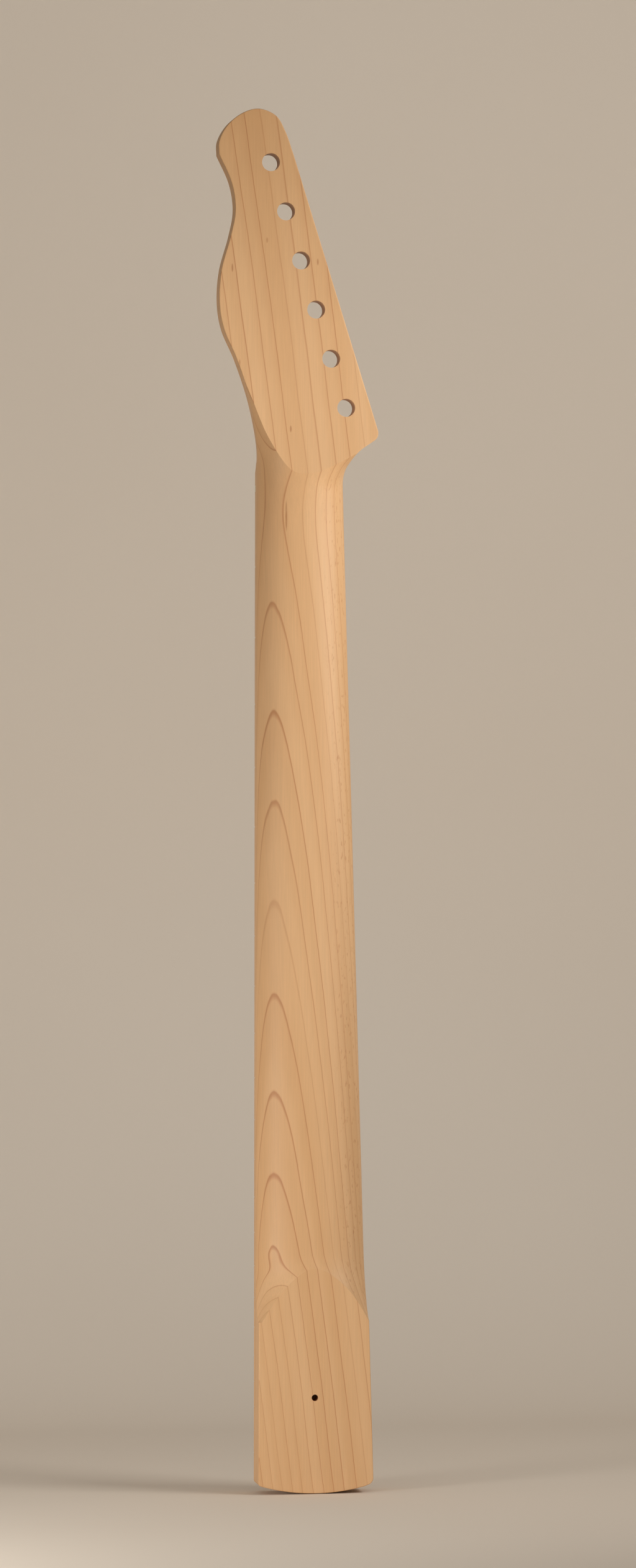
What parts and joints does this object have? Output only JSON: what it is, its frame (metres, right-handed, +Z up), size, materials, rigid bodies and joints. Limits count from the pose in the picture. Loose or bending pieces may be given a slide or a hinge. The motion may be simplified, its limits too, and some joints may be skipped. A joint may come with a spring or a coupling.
{
  "type": "guitar neck",
  "caption": "Bolt-on electric guitar neck of raw maple with a six-in-line headstock, radiused fretboard, frets, nut and a truss rod that turns from behind the nut",
  "frame": {"origin": "on the flat of the heel that seats in the body's pocket, on the centre line, 38.1 mm up from the heel's end", "axes": "+X to the bass side (right in the picture), +Y from the back of the neck to the fretboard, +Z up the neck to the headstock"},
  "size_m": [0.0764, 0.0281, 0.6688],
  "materials": {
    "raw_maple": "raw, sanded, unfinished",
    "fretboard_maple": "raw, sanded, unfinished",
    "nickel_silver": "dressed fret wire",
    "bone": "polished bone",
    "black_plastic": "sanded flush",
    "plain_steel": "plain",
    "brass": "plain"
  },
  "bodies": {
    "neck_body": {"neck": "raw_maple", "fretboard": "fretboard_maple", "nut": "bone", "fret_01": "nickel_silver", "fret_02": "nickel_silver", "fret_03": "nickel_silver", "fret_04": "nickel_silver", "fret_05": "nickel_silver", "fret_06": "nickel_silver", "fret_07": "nickel_silver", "fret_08": "nickel_silver", "fret_09": "nickel_silver", "fret_10": "nickel_silver", "fret_11": "nickel_silver", "fret_12": "nickel_silver", "fret_13": "nickel_silver", "fret_14": "nickel_silver", "fret_15": "nickel_silver", "fret_16": "nickel_silver", "fret_17": "nickel_silver", "fret_18": "nickel_silver", "fret_19": "nickel_silver", "fret_20": "nickel_silver", "fret_21": "nickel_silver", "fret_22": "nickel_silver", "face_dot_03": "black_plastic", "face_dot_05": "black_plastic", "face_dot_07": "black_plastic", "face_dot_09": "black_plastic", "face_dot_12_bass": "black_plastic", "face_dot_12_treble": "black_plastic", "face_dot_15": "black_plastic", "face_dot_17": "black_plastic", "face_dot_19": "black_plastic", "face_dot_21": "black_plastic", "side_dot_03": "black_plastic", "side_dot_05": "black_plastic", "side_dot_07": "black_plastic", "side_dot_09": "black_plastic", "side_dot_12_lower": "black_plastic", "side_dot_12_upper": "black_plastic", "side_dot_15": "black_plastic", "side_dot_17": "black_plastic", "side_dot_19": "black_plastic", "side_dot_21": "black_plastic", "truss_flat_bar": "plain_steel", "truss_front_block": "brass", "truss_rear_block": "brass"},
    "rod_body": {"truss_rod": "plain_steel", "truss_adjuster": "plain_steel"}
  },
  "joints": [
    {"name": "truss_rod_turn", "type": "hinge", "parent": "neck_body", "child": "rod_body", "pos_m": [0, 0.01235, 0.44644], "axis": [0, 0, 1], "range_deg": [-360, 360]}
  ]
}
